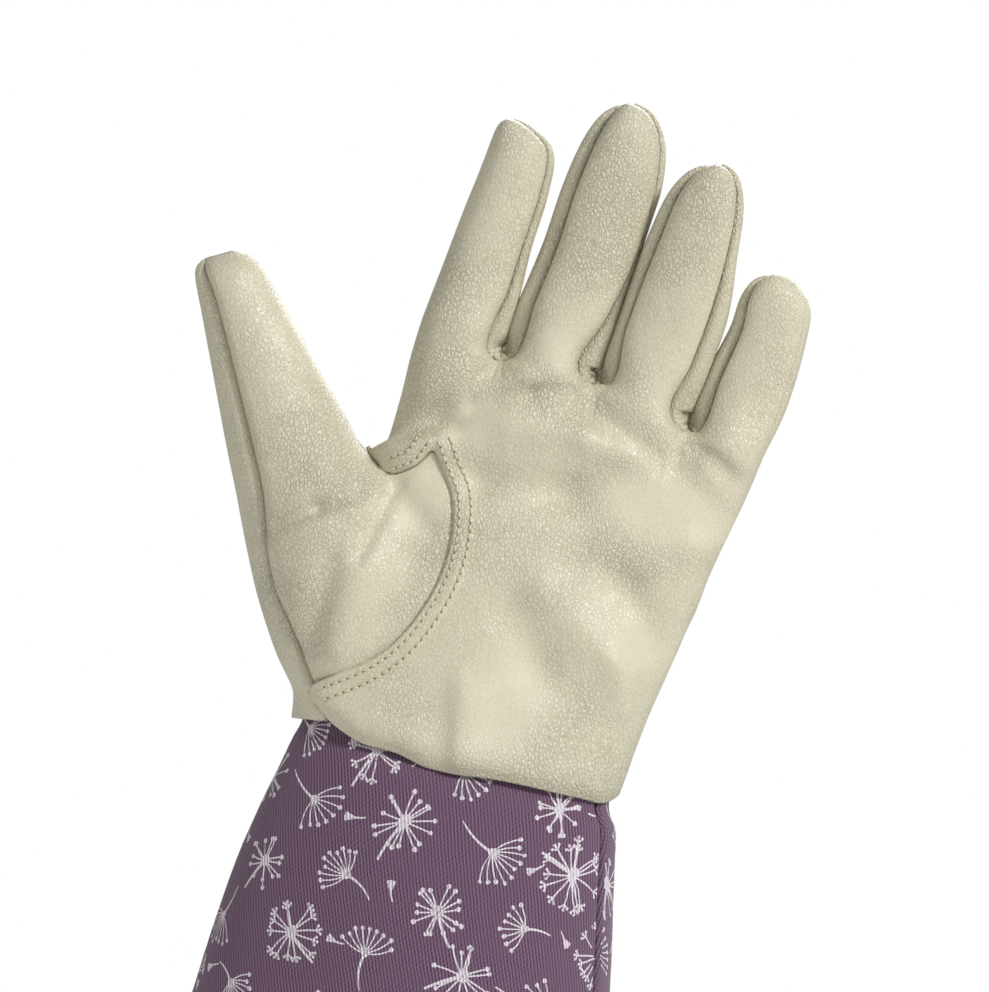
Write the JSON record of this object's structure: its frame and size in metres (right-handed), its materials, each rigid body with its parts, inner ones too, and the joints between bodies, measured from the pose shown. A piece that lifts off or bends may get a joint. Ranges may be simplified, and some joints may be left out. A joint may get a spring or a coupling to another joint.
{
  "type": "gardening glove",
  "caption": "Left-hand gardening glove worn upright: thick cream leather hand with a gusseted thumb, sewn to a long flared twill sleeve with a printed plant pattern.",
  "frame": {"origin": "middle of the wrist inside the glove, level with the lower edge of the leather", "axes": "+Z towards the finger tips, +X towards the little finger, +Y towards the back of the hand; the palm faces -Y"},
  "size_m": [0.1901, 0.0962, 0.3811],
  "materials": {
    "leather": "cream, pebble-grained, satin",
    "sleeve_twill": "purple twill with a white line print of plants"
  },
  "bodies": {
    "root": {"palm_panel": "leather", "back_panel": "leather", "side_strip_index_middle": "leather", "side_strip_middle_ring": "leather", "side_strip_ring_little": "leather", "thumb_front": "leather", "thumb_back": "leather", "sleeve_front": "sleeve_twill", "sleeve_back": "sleeve_twill"}
  },
  "joints": []
}
